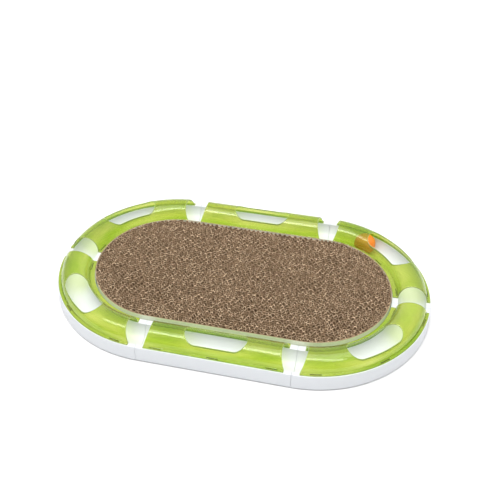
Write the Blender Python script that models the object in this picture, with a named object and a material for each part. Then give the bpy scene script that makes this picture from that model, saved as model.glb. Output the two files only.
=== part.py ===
"""Cat scratcher with a ball track.

Six track sections snap together into an oval ring round a corrugated cardboard pad. Each section
is a white trough with a clear green cover that leaves the ball in reach through a window and
through the gaps between the covers. Lengths are in metres, X runs along the oval and Z is up.
"""

import math

import bmesh
import bpy
from mathutils import Matrix, Vector

# The oval that the middle of the ball track follows
STRAIGHT_LENGTH = 0.2464
TRACK_RADIUS = 0.1635
QUARTER_STEPS = 12

# Tunnel and cover
TUNNEL_RADIUS = 0.0227
TUNNEL_STEPS = 12
COVER_WALL = 0.0018
FLANGE_WIDTH = 0.0044
MOUTH_SETBACK = 0.0120
MOUTH_LEAN = 0.0075
WINDOW_SHOULDER = 0.0044
WINDOW_LENGTH = 0.0980
WINDOW_END_STEPS = 8

# Tabs that hold each cover in its trough
TAB_LENGTH = 0.0180
TAB_THICKNESS = 0.0016
TAB_DEPTH = 0.0055
TAB_END_DISTANCE = 0.0315
TAB_CLEARANCE = 0.0003

# Trough sections
BASE_WALL = 0.0022
TROUGH_LIFT = 0.0036
SKIRT_LIFT = 0.0010
RIM_BORDER = 0.0011
RIM_ROUND = 0.0008
SKIRT_DRAFT = 0.0016
INNER_RIM_BORDER = 0.0041
BAY_COUNT = 3
RIB_WALL = 0.0018
RIB_LIFT = 0.0020
SEAM_GAP = 0.0003
SEAT_GAP = 0.0003

# Hooks that join one section to the next
HOOK_WIDTH = 0.0060
HOOK_THICKNESS = 0.0024
HOOK_HEIGHT = 0.0088
HOOK_MARGIN = 0.0028
HOOK_BARB = 0.0012
HOOK_REACH = 0.0085
HOOK_CLEARANCE = 0.0004

# Ledge that carries the pad
LEDGE_WIDTH = 0.0120
LEDGE_WALL = 0.0020

# Rubber feet, pushed into lands beside the skirt
FOOT_DIAMETER = 0.0100
FOOT_HEAD = 0.0026
FOOT_EDGE = 0.0006
FOOT_STEM_DIAMETER = 0.0040
FOOT_STEM_LENGTH = 0.0026
FOOT_STEM_CLEARANCE = 0.0003
FOOT_SIDES = 10
LAND_WALL = 0.0020
LAND_MARGIN = 0.0018

# Scratching pad
PAD_PROUD = 0.0090
PAD_CLEARANCE = 0.0011
BAND_WALL = 0.0009
GLUE_GAP = 0.0003
STRIP_PITCH = 0.0050
GROOVE_WIDTH = 0.0008
GROOVE_DEPTH = 0.0012

# Ball
BALL_PLAY = 0.0074
BALL_WALL = 0.0015
BALL_SEAM_GAP = 0.0003
BALL_RING_STEPS = 20
BALL_ARC_STEPS = 5
BALL_ANGLE = math.radians(65.0)
BALL_SEAM_TILT = math.radians(35.0)

# Worked out from the sizes above
ARCH_RADIUS = TUNNEL_RADIUS + COVER_WALL
TROUGH_OUTSIDE = TUNNEL_RADIUS + BASE_WALL
COVER_SEAT = TROUGH_LIFT + BASE_WALL + TUNNEL_RADIUS
BASE_HEIGHT = COVER_SEAT - SEAT_GAP
FLANGE_EDGE = ARCH_RADIUS + FLANGE_WIDTH
RIM_OUTSIDE = FLANGE_EDGE + RIM_BORDER
SKIRT_FOOT = RIM_OUTSIDE + SKIRT_DRAFT
RIM_INSIDE = -(FLANGE_EDGE + INNER_RIM_BORDER)
RIM_UNDERSIDE = BASE_HEIGHT - BASE_WALL
LEDGE_TOP = SKIRT_LIFT + LEDGE_WALL
PAD_BOTTOM = LEDGE_TOP + SEAT_GAP
PAD_TOP = BASE_HEIGHT + PAD_PROUD
PAD_RADIUS = TRACK_RADIUS + RIM_INSIDE - PAD_CLEARANCE
CORE_RADIUS = PAD_RADIUS - BAND_WALL - GLUE_GAP
TROUGH_FLOOR = COVER_SEAT - TUNNEL_RADIUS
WINDOW_WIDTH = 2 * (TUNNEL_RADIUS - WINDOW_SHOULDER)
BALL_RADIUS = TUNNEL_RADIUS - BALL_PLAY / 2
BALL_CENTRE_HEIGHT = TROUGH_FLOOR + BALL_RADIUS + SEAT_GAP
TAB_MIDDLE = ARCH_RADIUS + TAB_THICKNESS / 2
HOOK_OUTER_OFFSET = SKIRT_FOOT - BASE_WALL - HOOK_MARGIN - HOOK_WIDTH / 2
HOOK_INNER_OFFSET = RIM_INSIDE + BASE_WALL + HOOK_MARGIN + HOOK_WIDTH / 2
LAND_BOTTOM = FOOT_HEAD + SEAT_GAP
LAND_WIDTH = FOOT_DIAMETER + 2 * LAND_MARGIN
FOOT_OFFSET = SKIRT_FOOT - BASE_WALL - LAND_MARGIN - FOOT_DIAMETER / 2

# Cutters reach this far past what they cut
OVERCUT = 0.0040
MERGE_DISTANCE = 0.00001
QUARTER_TURN = math.pi / 2

MATERIALS = {
    "white_plastic": ((0.86, 0.88, 0.90), 0.35, 1.0),
    "green_plastic": ((0.42, 0.68, 0.06), 0.12, 0.55),
    "cardboard": ((0.30, 0.21, 0.14), 0.90, 1.0),
    "paper_band": ((0.62, 0.58, 0.50), 0.80, 1.0),
    "foot_rubber": ((0.10, 0.10, 0.11), 0.75, 1.0),
    "ball_plastic": ((0.90, 0.32, 0.05), 0.30, 1.0),
}


def clear_scene():
    """Empties the scene of its objects."""
    for item in list(bpy.data.objects):
        bpy.data.objects.remove(item, do_unlink=True)


def material(name):
    """The named material, made on first use."""
    found = bpy.data.materials.get(name)
    if found:
        return found
    colour, roughness, alpha = MATERIALS[name]
    made = bpy.data.materials.new(name)
    made.use_nodes = True
    shader = made.node_tree.nodes["Principled BSDF"]
    shader.inputs["Base Color"].default_value = (*colour, 1.0)
    shader.inputs["Roughness"].default_value = roughness
    shader.inputs["Metallic"].default_value = 0.0
    shader.inputs["Alpha"].default_value = alpha
    return made


def mesh_from(bm, name):
    """Closes a bmesh into mesh data with its faces pointing out."""
    bmesh.ops.recalc_face_normals(bm, faces=bm.faces)
    mesh = bpy.data.meshes.new(name)
    bm.to_mesh(mesh)
    bm.free()
    return mesh


def combined(mesh, others, operation):
    """The mesh after an exact Boolean with each of the other meshes."""
    body = bpy.data.objects.new("body", mesh)
    bpy.context.scene.collection.objects.link(body)
    helpers = []
    for number, other in enumerate(others):
        helper = bpy.data.objects.new(f"helper_{number}", other)
        helper.hide_render = True
        helper.display_type = "WIRE"
        bpy.context.scene.collection.objects.link(helper)
        step = body.modifiers.new(f"step_{number}", "BOOLEAN")
        step.operation = operation
        step.solver = "EXACT"
        step.object = helper
        helpers.append(helper)
    graph = bpy.context.evaluated_depsgraph_get()
    result = bpy.data.meshes.new_from_object(body.evaluated_get(graph))
    result.name = mesh.name
    for item in [body, *helpers]:
        bpy.data.objects.remove(item, do_unlink=True)
    return result


def arc(radius, start, end, steps, centre=(0.0, 0.0)):
    """Points round part of a circle, both ends included."""
    angles = [start + (end - start) * k / steps for k in range(steps + 1)]
    return [(centre[0] + radius * math.cos(a), centre[1] + radius * math.sin(a)) for a in angles]


def dip(radius, height, steps):
    """A trough's round side from one rim at this height to the other, hanging from the seat."""
    edge = math.asin((COVER_SEAT - height) / radius)
    return arc(radius, -edge, -math.pi + edge, steps, (0.0, COVER_SEAT))


class Straight:
    """A section of a long side, in its own frame: it runs along -X at Y = TRACK_RADIUS."""

    length = STRAIGHT_LENGTH

    def frame(self, distance):
        """A frame on the middle of the track: X along it, Y outwards, Z up."""
        place = Matrix.Translation((self.length / 2 - distance, TRACK_RADIUS, 0))
        return place @ Matrix.Diagonal((-1, 1, 1, 1))

    def carry(self, bm, face, start, end):
        """Drags the section face along the run."""
        grown = bmesh.ops.extrude_face_region(bm, geom=[face])
        points = [item for item in grown["geom"] if isinstance(item, bmesh.types.BMVert)]
        bmesh.ops.translate(bm, vec=(start - end, 0, 0), verts=points)


class Quarter:
    """A quarter of an end, in its own frame: it turns about the origin from +X to +Y."""

    length = TRACK_RADIUS * QUARTER_TURN

    def frame(self, distance):
        """A frame on the middle of the track: X along it, Y outwards, Z up."""
        out = Vector((math.cos(distance / TRACK_RADIUS), math.sin(distance / TRACK_RADIUS), 0))
        axes = Matrix((Vector((-out.y, out.x, 0)), out, Vector((0, 0, 1)))).transposed()
        return Matrix.Translation(out * TRACK_RADIUS) @ axes.to_4x4()

    def carry(self, bm, face, start, end):
        """Turns the section face about the middle of the end."""
        turn = (end - start) / TRACK_RADIUS
        steps = max(1, round(turn / QUARTER_TURN * QUARTER_STEPS))
        geometry = [face, *face.edges, *face.verts]
        bmesh.ops.spin(bm, geom=geometry, cent=(0, 0, 0), axis=(0, 0, 1), angle=turn, steps=steps)


def swept(run, outline, start, end, name):
    """A solid with this outline, of offsets and heights, between two distances along a run."""
    bm = bmesh.new()
    frame = run.frame(start)
    face = bm.faces.new([bm.verts.new(frame @ Vector((0, offset, height))) for offset, height in outline])
    run.carry(bm, face, start, end)
    return mesh_from(bm, name)


def block(frame, low, high, name):
    """A box between two corners of a frame."""
    bm = bmesh.new()
    bmesh.ops.create_cube(bm, size=1.0)
    size = Vector(high) - Vector(low)
    middle = (Vector(high) + Vector(low)) / 2
    shape = frame @ Matrix.Translation(middle) @ Matrix.Diagonal((*size, 1.0))
    bmesh.ops.transform(bm, matrix=shape, verts=bm.verts)
    return mesh_from(bm, name)


def prism(frame, outline, low, high, name):
    """A closed outline in a frame's XY plane, drawn up from one height to another."""
    bm = bmesh.new()
    face = bm.faces.new([bm.verts.new(frame @ Vector((x, y, low))) for x, y in outline])
    grown = bmesh.ops.extrude_face_region(bm, geom=[face])
    points = [item for item in grown["geom"] if isinstance(item, bmesh.types.BMVert)]
    bmesh.ops.translate(bm, vec=(0, 0, high - low), verts=points)
    return mesh_from(bm, name)


def turned(side, steps, name):
    """A solid turned about Z from a side view that starts and ends on the axis."""
    bm = bmesh.new()
    points = [bm.verts.new((x, 0, z)) for x, z in side]
    edges = [bm.edges.new(pair) for pair in zip(points, points[1:])]
    whole = [*points, *edges]
    bmesh.ops.spin(bm, geom=whole, cent=(0, 0, 0), axis=(0, 0, 1), angle=2 * math.pi, steps=steps)
    bmesh.ops.remove_doubles(bm, verts=bm.verts, dist=MERGE_DISTANCE)
    return mesh_from(bm, name)


def trough_outline():
    """The outside of a trough section, hollow not yet cut: skirt, rim, trough, rim, well wall, ledge."""
    shoulder = RIM_OUTSIDE - RIM_ROUND
    rounded = arc(RIM_ROUND, 0.0, QUARTER_TURN, 2, (shoulder, BASE_HEIGHT - RIM_ROUND))
    well = [
        (RIM_INSIDE, BASE_HEIGHT),
        (RIM_INSIDE, LEDGE_TOP),
        (RIM_INSIDE - LEDGE_WIDTH, LEDGE_TOP),
        (RIM_INSIDE - LEDGE_WIDTH, SKIRT_LIFT),
    ]
    return [(SKIRT_FOOT, SKIRT_LIFT), *rounded, *dip(TUNNEL_RADIUS, BASE_HEIGHT, TUNNEL_STEPS), *well]


def hollow_outline():
    """The space under a trough section, open at the floor."""
    skirt_slope = SKIRT_DRAFT / BASE_HEIGHT
    inside = SKIRT_FOOT - BASE_WALL
    return [
        (inside + skirt_slope * OVERCUT, -OVERCUT),
        (inside - skirt_slope * RIM_UNDERSIDE, RIM_UNDERSIDE),
        *dip(TROUGH_OUTSIDE, RIM_UNDERSIDE, TUNNEL_STEPS),
        (RIM_INSIDE + BASE_WALL, RIM_UNDERSIDE),
        (RIM_INSIDE + BASE_WALL, -OVERCUT),
    ]


def rib_relief_outline():
    """The strip by which the ribs stop short of the floor."""
    inside = SKIRT_FOOT - BASE_WALL
    return [
        (inside, -OVERCUT),
        (inside, SKIRT_LIFT + RIB_LIFT),
        (RIM_INSIDE + BASE_WALL, SKIRT_LIFT + RIB_LIFT),
        (RIM_INSIDE + BASE_WALL, -OVERCUT),
    ]


def tab_distances(run):
    """How far along a run its three pairs of tabs stand."""
    return [TAB_END_DISTANCE, run.length / 2, run.length - TAB_END_DISTANCE]


def tab_blocks(run, grow, top, bottom, name):
    """The boxes of every tab of a section, grown on each side for a slot."""
    half_length = TAB_LENGTH / 2 + grow
    half_thickness = TAB_THICKNESS / 2 + grow
    made = []
    for distance in tab_distances(run):
        frame = run.frame(distance)
        for offset in (TAB_MIDDLE, -TAB_MIDDLE):
            low = (-half_length, offset - half_thickness, bottom)
            high = (half_length, offset + half_thickness, top)
            made.append(block(frame, low, high, name))
    return made


def hook(run, offset):
    """A barbed tongue past the far seam of a run, seen from the side and given its width."""
    root = -(SEAM_GAP / 2 + BASE_WALL / 2)
    catch = SEAM_GAP / 2 + BASE_WALL + HOOK_CLEARANCE
    top = HOOK_HEIGHT + HOOK_THICKNESS
    side = [
        (root, HOOK_HEIGHT),
        (HOOK_REACH, HOOK_HEIGHT),
        (HOOK_REACH, top - HOOK_BARB / 2),
        (catch + HOOK_BARB, top + HOOK_BARB),
        (catch, top + HOOK_BARB),
        (catch, top),
        (root, top),
    ]
    frame = run.frame(run.length) @ Matrix.Translation((0, offset - HOOK_WIDTH / 2, 0))
    bm = bmesh.new()
    face = bm.faces.new([bm.verts.new(frame @ Vector((x, 0, z))) for x, z in side])
    grown = bmesh.ops.extrude_face_region(bm, geom=[face])
    points = [item for item in grown["geom"] if isinstance(item, bmesh.types.BMVert)]
    across = frame.to_3x3() @ Vector((0, HOOK_WIDTH, 0))
    bmesh.ops.translate(bm, vec=across, verts=points)
    return mesh_from(bm, "hook")


def hook_slot(run, offset):
    """The hole by the near seam that takes the neighbour's tongue."""
    half = HOOK_WIDTH / 2 + HOOK_CLEARANCE
    low = (-OVERCUT, offset - half, HOOK_HEIGHT - HOOK_CLEARANCE)
    high = (OVERCUT, offset + half, HOOK_HEIGHT + HOOK_THICKNESS + HOOK_CLEARANCE)
    return block(run.frame(0.0), low, high, "hook_slot")


def wall_distances(run):
    """How far along a run the middles of its cross walls stand, the two end walls included."""
    first = (SEAM_GAP + BASE_WALL) / 2
    bay = (run.length - 2 * first) / BAY_COUNT
    return [first + bay * k for k in range(BAY_COUNT + 1)]


def hollow_meshes(run):
    """The bays under a section, with a wall left at each end and a rib between bays."""
    middles = wall_distances(run)
    halves = [BASE_WALL / 2, *[RIB_WALL / 2] * (BAY_COUNT - 1), BASE_WALL / 2]
    spans = zip(middles, middles[1:], halves, halves[1:])
    return [swept(run, hollow_outline(), a + half_a, b - half_b, "hollow") for a, b, half_a, half_b in spans]


def foot_frames(run):
    """Where the feet stand: under each rib, beside the skirt."""
    beside_skirt = Matrix.Translation((0, FOOT_OFFSET, 0))
    return [run.frame(distance) @ beside_skirt for distance in wall_distances(run)[1:-1]]


def foot_land(frame):
    """The small shelf that a foot is pushed into, run into the skirt's wall."""
    half = LAND_WIDTH / 2
    low = (-half, -half, LAND_BOTTOM)
    high = (half, SKIRT_FOOT - BASE_WALL / 2 - FOOT_OFFSET - SKIRT_DRAFT / 2, LAND_BOTTOM + LAND_WALL)
    return block(frame, low, high, "foot_land")


def foot_hole(frame):
    """The hole that takes a foot's stem, with room above it in the rib."""
    radius = FOOT_STEM_DIAMETER / 2 + FOOT_STEM_CLEARANCE
    outline = arc(radius, 0.0, 2 * math.pi, FOOT_SIDES)[:-1]
    top = FOOT_HEAD + FOOT_STEM_LENGTH + FOOT_STEM_CLEARANCE
    return prism(frame, outline, LAND_BOTTOM - OVERCUT, top, "foot_hole")


def foot_mesh():
    """A rubber foot, turned about Z: a head with an eased lower edge, and a stem."""
    radius, stem = FOOT_DIAMETER / 2, FOOT_STEM_DIAMETER / 2
    side = [
        (0.0, 0.0),
        (radius - FOOT_EDGE, 0.0),
        (radius, FOOT_EDGE),
        (radius, FOOT_HEAD),
        (stem, FOOT_HEAD),
        (stem, FOOT_HEAD + FOOT_STEM_LENGTH),
        (0.0, FOOT_HEAD + FOOT_STEM_LENGTH),
    ]
    return turned(side, FOOT_SIDES, "foot")


def base_mesh(run, name):
    """A trough section: a shell with ribs under it, slots for the cover's tabs, hooks at one end."""
    body = swept(run, trough_outline(), SEAM_GAP / 2, run.length - SEAM_GAP / 2, name)
    hollows = hollow_meshes(run)
    inner_end = SEAM_GAP / 2 + BASE_WALL
    relief = swept(run, rib_relief_outline(), inner_end, run.length - inner_end, "relief")
    slot_bottom = COVER_SEAT - TAB_DEPTH - TAB_CLEARANCE
    slots = tab_blocks(run, TAB_CLEARANCE, BASE_HEIGHT + OVERCUT, slot_bottom, "tab_slot")
    sockets = [hook_slot(run, offset) for offset in (HOOK_OUTER_OFFSET, HOOK_INNER_OFFSET)]
    body = combined(body, [*hollows, relief, *slots, *sockets], "DIFFERENCE")
    hooks = [hook(run, offset) for offset in (HOOK_OUTER_OFFSET, HOOK_INNER_OFFSET)]
    lands = [foot_land(frame) for frame in foot_frames(run)]
    body = combined(body, [*hooks, *lands], "UNION")
    return combined(body, [foot_hole(frame) for frame in foot_frames(run)], "DIFFERENCE")


def cover_outline():
    """An arch with a flange along each foot."""
    flange_top = COVER_SEAT + COVER_WALL
    foot = math.asin(COVER_WALL / ARCH_RADIUS)
    outside = arc(ARCH_RADIUS, foot, math.pi - foot, TUNNEL_STEPS, (0.0, COVER_SEAT))
    inside = arc(TUNNEL_RADIUS, math.pi, 0.0, TUNNEL_STEPS, (0.0, COVER_SEAT))
    return [
        (FLANGE_EDGE, COVER_SEAT),
        (FLANGE_EDGE, flange_top),
        *outside,
        (-FLANGE_EDGE, flange_top),
        (-FLANGE_EDGE, COVER_SEAT),
        *inside,
    ]


def window_outline(run):
    """A long hole with round ends, bent with the run, in the frame of the run's own origin."""
    half_width = WINDOW_WIDTH / 2
    reach = WINDOW_LENGTH / 2 - half_width
    far = arc(half_width, -QUARTER_TURN, QUARTER_TURN, WINDOW_END_STEPS)
    near = arc(half_width, QUARTER_TURN, 3 * QUARTER_TURN, WINDOW_END_STEPS)
    side_steps = QUARTER_STEPS // 3
    lower = [(-reach + 2 * reach * k / side_steps, -half_width) for k in range(1, side_steps)]
    upper = [(reach - 2 * reach * k / side_steps, half_width) for k in range(1, side_steps)]
    flat = [*lower, *((x + reach, y) for x, y in far), *upper, *((x - reach, y) for x, y in near)]
    points = [run.frame(run.length / 2 + x) @ Vector((0, y, 0)) for x, y in flat]
    return [(point.x, point.y) for point in points]


def trim_mouth(bm, frame, side):
    """Cuts a cover off along a plane that leans back from the seam, and closes the cut."""
    corner = frame @ Vector((side * MOUTH_SETBACK, 0, COVER_SEAT))
    normal = frame.to_3x3() @ Vector((-side * ARCH_RADIUS, 0, MOUTH_LEAN))
    everything = [*bm.verts, *bm.edges, *bm.faces]
    cut = bmesh.ops.bisect_plane(bm, geom=everything, plane_co=corner, plane_no=normal, clear_outer=True)
    edges = [item for item in cut["geom_cut"] if isinstance(item, bmesh.types.BMEdge)]
    bmesh.ops.contextual_create(bm, geom=edges)


def cover_mesh(run, name):
    """A clear cover: an arch with leaning mouths, a window over the crown and tabs under its flanges."""
    body = swept(run, cover_outline(), 0.0, run.length, name)
    bm = bmesh.new()
    bm.from_mesh(body)
    trim_mouth(bm, run.frame(0.0), 1)
    trim_mouth(bm, run.frame(run.length), -1)
    body = mesh_from(bm, name)
    low, high = COVER_SEAT + OVERCUT, COVER_SEAT + ARCH_RADIUS + OVERCUT
    window = prism(Matrix.Identity(4), window_outline(run), low, high, "window")
    body = combined(body, [window], "DIFFERENCE")
    tabs = tab_blocks(run, 0.0, COVER_SEAT + COVER_WALL / 2, COVER_SEAT - TAB_DEPTH, "tab")
    return combined(body, tabs, "UNION")


def oval(radius):
    """The oval outline at this distance from the line between the ends' middles."""
    half = STRAIGHT_LENGTH / 2
    steps = 2 * QUARTER_STEPS
    right = arc(radius, -QUARTER_TURN, QUARTER_TURN, steps, (half, 0.0))
    left = arc(radius, QUARTER_TURN, 3 * QUARTER_TURN, steps, (-half, 0.0))
    return [*right, *left]


def comb_outline():
    """The pad's strips seen end on: flat below, with a groove along the top between strips."""
    count = math.ceil(CORE_RADIUS / STRIP_PITCH)
    points = [(-(count + 1) * STRIP_PITCH, PAD_BOTTOM), ((count + 1) * STRIP_PITCH, PAD_BOTTOM)]
    points.append(((count + 1) * STRIP_PITCH, PAD_TOP))
    for k in range(count, -count - 1, -1):
        middle, half = k * STRIP_PITCH, GROOVE_WIDTH / 2
        points += [
            (middle + half, PAD_TOP),
            (middle + half, PAD_TOP - GROOVE_DEPTH),
            (middle - half, PAD_TOP - GROOVE_DEPTH),
            (middle - half, PAD_TOP),
        ]
    points.append((-(count + 1) * STRIP_PITCH, PAD_TOP))
    return points


def pad_core_mesh():
    """Corrugated strips on edge, cut to the oval."""
    reach = STRAIGHT_LENGTH / 2 + CORE_RADIUS + OVERCUT
    bm = bmesh.new()
    face = bm.faces.new([bm.verts.new((-reach, y, z)) for y, z in comb_outline()])
    grown = bmesh.ops.extrude_face_region(bm, geom=[face])
    points = [item for item in grown["geom"] if isinstance(item, bmesh.types.BMVert)]
    bmesh.ops.translate(bm, vec=(2 * reach, 0, 0), verts=points)
    strips = mesh_from(bm, "pad_core")
    blank = prism(Matrix.Identity(4), oval(CORE_RADIUS), PAD_BOTTOM - OVERCUT, PAD_TOP + OVERCUT, "blank")
    return combined(strips, [blank], "INTERSECT")


def pad_band_mesh():
    """The paper band glued round the strips."""
    ring = prism(Matrix.Identity(4), oval(PAD_RADIUS), PAD_BOTTOM, PAD_TOP, "pad_band")
    inside = oval(PAD_RADIUS - BAND_WALL)
    core = prism(Matrix.Identity(4), inside, PAD_BOTTOM - OVERCUT, PAD_TOP + OVERCUT, "band_inside")
    return combined(ring, [core], "DIFFERENCE")


def ball_half_mesh():
    """Half of the hollow ball, open at the seam plane, turned about Z."""
    seam = BALL_SEAM_GAP / 2
    inner_radius = BALL_RADIUS - BALL_WALL
    inner = arc(inner_radius, QUARTER_TURN, math.asin(seam / inner_radius), BALL_ARC_STEPS)
    outer = arc(BALL_RADIUS, math.asin(seam / BALL_RADIUS), QUARTER_TURN, BALL_ARC_STEPS)
    return turned([*inner, *outer], BALL_RING_STEPS, "ball_half")


def add_piece(name, mesh, finish, location=(0, 0, 0), turn=0.0, parent=None):
    """Puts a named piece of this mesh and finish in the scene."""
    piece = bpy.data.objects.new(name, mesh)
    piece.location = location
    piece.rotation_euler = (0, 0, turn)
    piece.parent = parent
    if not mesh.materials:
        mesh.materials.append(material(finish))
    mesh.shade_smooth()
    mesh.set_sharp_from_angle(angle=math.radians(30))
    bpy.context.scene.collection.objects.link(piece)
    return piece


def add_track():
    """The six trough sections with their covers and feet, each at its place round the oval."""
    half = STRAIGHT_LENGTH / 2
    runs = {"quarter": Quarter(), "straight": Straight()}
    bases = {kind: base_mesh(run, f"base_{kind}") for kind, run in runs.items()}
    covers = {kind: cover_mesh(run, f"cover_{kind}") for kind, run in runs.items()}
    foot = foot_mesh()
    places = [
        ("back_right", "quarter", (half, 0, 0), 0),
        ("back", "straight", (0, 0, 0), 0),
        ("back_left", "quarter", (-half, 0, 0), 1),
        ("front_left", "quarter", (-half, 0, 0), 2),
        ("front", "straight", (0, 0, 0), 2),
        ("front_right", "quarter", (half, 0, 0), 3),
    ]
    for side, kind, location, quarters in places:
        turn = quarters * QUARTER_TURN
        section = Matrix.Translation(location) @ Matrix.Rotation(turn, 4, "Z")
        add_piece(f"base_{side}", bases[kind], "white_plastic", location, turn)
        add_piece(f"cover_{side}", covers[kind], "green_plastic", location, turn)
        for number, frame in enumerate(foot_frames(runs[kind]), start=1):
            place = (section @ frame).translation
            add_piece(f"foot_{side}_{number}", foot, "foot_rubber", place, turn)


def add_pad():
    """The cardboard pad and the band round it."""
    add_piece("pad_core", pad_core_mesh(), "cardboard")
    add_piece("pad_band", pad_band_mesh(), "paper_band")


def add_ball():
    """The ball in the right end of the track, on a pivot at the middle of that end."""
    pivot = bpy.data.objects.new("ball_pivot", None)
    pivot.location = (STRAIGHT_LENGTH / 2, 0, 0)
    bpy.context.scene.collection.objects.link(pivot)
    mesh = ball_half_mesh()
    place = (TRACK_RADIUS * math.cos(BALL_ANGLE), TRACK_RADIUS * math.sin(BALL_ANGLE), BALL_CENTRE_HEIGHT)
    upper = add_piece("ball_upper_half", mesh, "ball_plastic", place, parent=pivot)
    lower = add_piece("ball_lower_half", mesh, "ball_plastic", place, parent=pivot)
    upper.rotation_euler = (BALL_SEAM_TILT, 0, 0)
    lower.rotation_euler = (BALL_SEAM_TILT + math.pi, 0, 0)


def main():
    """Builds the whole scratcher."""
    clear_scene()
    add_track()
    add_pad()
    add_ball()


main()
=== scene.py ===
"""Looks of the cat scratcher with a ball track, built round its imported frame.

The white trough sections and their clear green covers are made again with fine steps and eased
edges, the cardboard pad gets its liners and flutes, and the feet and the ball are made round.
Lengths are in metres, X runs along the oval and Z is up.
"""

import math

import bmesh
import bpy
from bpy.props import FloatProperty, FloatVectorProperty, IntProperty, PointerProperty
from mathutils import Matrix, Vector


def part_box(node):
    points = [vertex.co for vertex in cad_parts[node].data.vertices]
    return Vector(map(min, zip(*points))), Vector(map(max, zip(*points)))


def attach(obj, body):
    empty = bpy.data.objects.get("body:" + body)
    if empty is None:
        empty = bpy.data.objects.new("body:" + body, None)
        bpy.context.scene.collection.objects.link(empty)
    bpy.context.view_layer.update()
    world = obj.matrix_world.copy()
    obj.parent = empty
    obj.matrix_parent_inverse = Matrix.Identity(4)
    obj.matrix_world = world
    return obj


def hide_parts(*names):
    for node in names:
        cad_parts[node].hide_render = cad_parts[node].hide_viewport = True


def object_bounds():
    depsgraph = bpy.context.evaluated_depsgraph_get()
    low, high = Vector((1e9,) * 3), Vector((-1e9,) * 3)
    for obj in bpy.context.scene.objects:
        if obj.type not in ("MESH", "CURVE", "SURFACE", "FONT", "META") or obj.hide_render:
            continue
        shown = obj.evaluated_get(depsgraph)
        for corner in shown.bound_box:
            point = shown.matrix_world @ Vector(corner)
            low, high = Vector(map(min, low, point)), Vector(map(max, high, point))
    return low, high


bl_info = {
    "name": "Cat Scratcher Looks",
    "version": (1, 0, 0),
    "blender": (4, 5, 0),
    "location": "3D View > Sidebar > Scratcher",
    "description": "Troughs, clear covers, corrugated pad, feet and ball of an oval cat scratcher",
    "category": "Object",
}

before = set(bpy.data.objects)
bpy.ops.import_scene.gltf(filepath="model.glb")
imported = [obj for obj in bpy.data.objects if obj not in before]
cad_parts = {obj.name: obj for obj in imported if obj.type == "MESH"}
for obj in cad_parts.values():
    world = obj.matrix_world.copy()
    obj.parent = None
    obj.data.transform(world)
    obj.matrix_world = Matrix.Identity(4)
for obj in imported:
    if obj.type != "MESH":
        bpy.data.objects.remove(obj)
CAD_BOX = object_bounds()

# Places of the six sections: whether curved, the end of the oval that it turns about, and quarter turns
SECTIONS = {
    "back_right": (True, 1, 0),
    "back": (False, 0, 0),
    "back_left": (True, -1, 1),
    "front_left": (True, -1, 2),
    "front": (False, 0, 2),
    "front_right": (True, 1, 3),
}
FOOT_NODES = [f"foot_{side}_{number}" for side in SECTIONS for number in (1, 2)]

# Sizes that the frame gives
COVER_LOW, COVER_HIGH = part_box("cover_front")
BASE_LOW, BASE_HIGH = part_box("base_front")
CORE_LOW, CORE_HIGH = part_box("pad_core")
FOOT_LOW, FOOT_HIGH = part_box(FOOT_NODES[0])
BALL_BOXES = [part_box("ball_upper_half"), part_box("ball_lower_half")]
BALL_LOW = Vector([min(low[k] for low, _ in BALL_BOXES) for k in range(3)])
BALL_HIGH = Vector([max(high[k] for _, high in BALL_BOXES) for k in range(3)])
TRACK_RADIUS = -(COVER_LOW.y + COVER_HIGH.y) / 2
STRAIGHT_LENGTH = 2 * (CAD_BOX[1].x - CAD_BOX[1].y)
SKIRT_FOOT = CAD_BOX[1].y - TRACK_RADIUS
FLANGE_EDGE = (COVER_HIGH.y - COVER_LOW.y) / 2
BAND_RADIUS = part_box("pad_band")[1].y
LEDGE_END = -BASE_HIGH.y

# Hidden fittings under the trough sections, sized as in the frame
HOOK_WIDTH, HOOK_THICKNESS, HOOK_HEIGHT, HOOK_MARGIN = 0.0060, 0.0024, 0.0088, 0.0028
HOOK_BARB, HOOK_REACH, HOOK_CLEARANCE = 0.0012, 0.0085, 0.0004
FOOT_OFFSET, FOOT_STEM, FOOT_HEAD, FOOT_EASE = 0.0226, 0.0020, 0.0026, 0.0006
LAND_HALF, LAND_BOTTOM, LAND_WALL = 0.0068, 0.0029, 0.0020
HOLE_RADIUS, HOLE_TOP = 0.0023, 0.0055

# Wall of the ball, half the slit between its halves, its rounded lip, and how far the slit leans
BALL_WALL, BALL_SLIT, BALL_LIP, BALL_LEAN = 0.0015, 0.00015, 0.00025, math.radians(35.0)

# Rounding of a section's ends, of a cover's mouth and of its window, and the even field round the window
SEAM_EASE, MOUTH_EASE, WINDOW_EASE, WINDOW_MARGIN = 0.0003, 0.0006, 0.0011, 0.0028

# Steps round edges, windows and the pad's ends, along an arch and its fillet, and cells along a cover
EASE_STEPS, CORNER_STEPS, WINDOW_EASE_STEPS, WINDOW_STEPS, OVAL_STEPS = 3, 4, 4, 32, 96
FILLET_STEPS, ARCH_STEPS = 5, 6
MOUTH_CELLS, TAB_CELLS, SIDE_CELLS, MIDDLE_CELLS = 2, 4, 12, 6

# Steps round a foot's lower edge, upper edge and girth, the ball's inside, outside and girth, and a hole
FOOT_STEPS, BALL_STEPS, HOLE_STEPS = (4, 3, 40), (16, 24, 72), 24

# Waves of the board: blotches that turn them, in a metre, the most that they turn, and how flat crests are
WANDER_SCALE, WANDER_TURN, CREST_GAIN = (14.0, 48.0, 0.0), 26.0, 1.5

# Stretched blotches: paler streaks in the green plastic, partly random tone and partly painted reflection,
# and painted shade where the board's cells end underneath; and the tint of light falling through the green
STREAK_SCALE, CELL_END_SHADE_SCALE = (9.0, 9.0, 80.0), (120.0, 300.0, 0.0)
SHADOW_GREEN = (1.0, 0.98, 0.74, 1.0)

# Lights: size, place and what they face
LIGHTS = {
    "overhead": ((3.2, 2.4), (0.2, -0.4, 3.6), (0.0, 0.0, 0.0)),
    "strip": ((5.2, 0.9), (-0.3, -1.28, 3.55), (0.0, -0.16, 0.05)),
}

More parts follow.
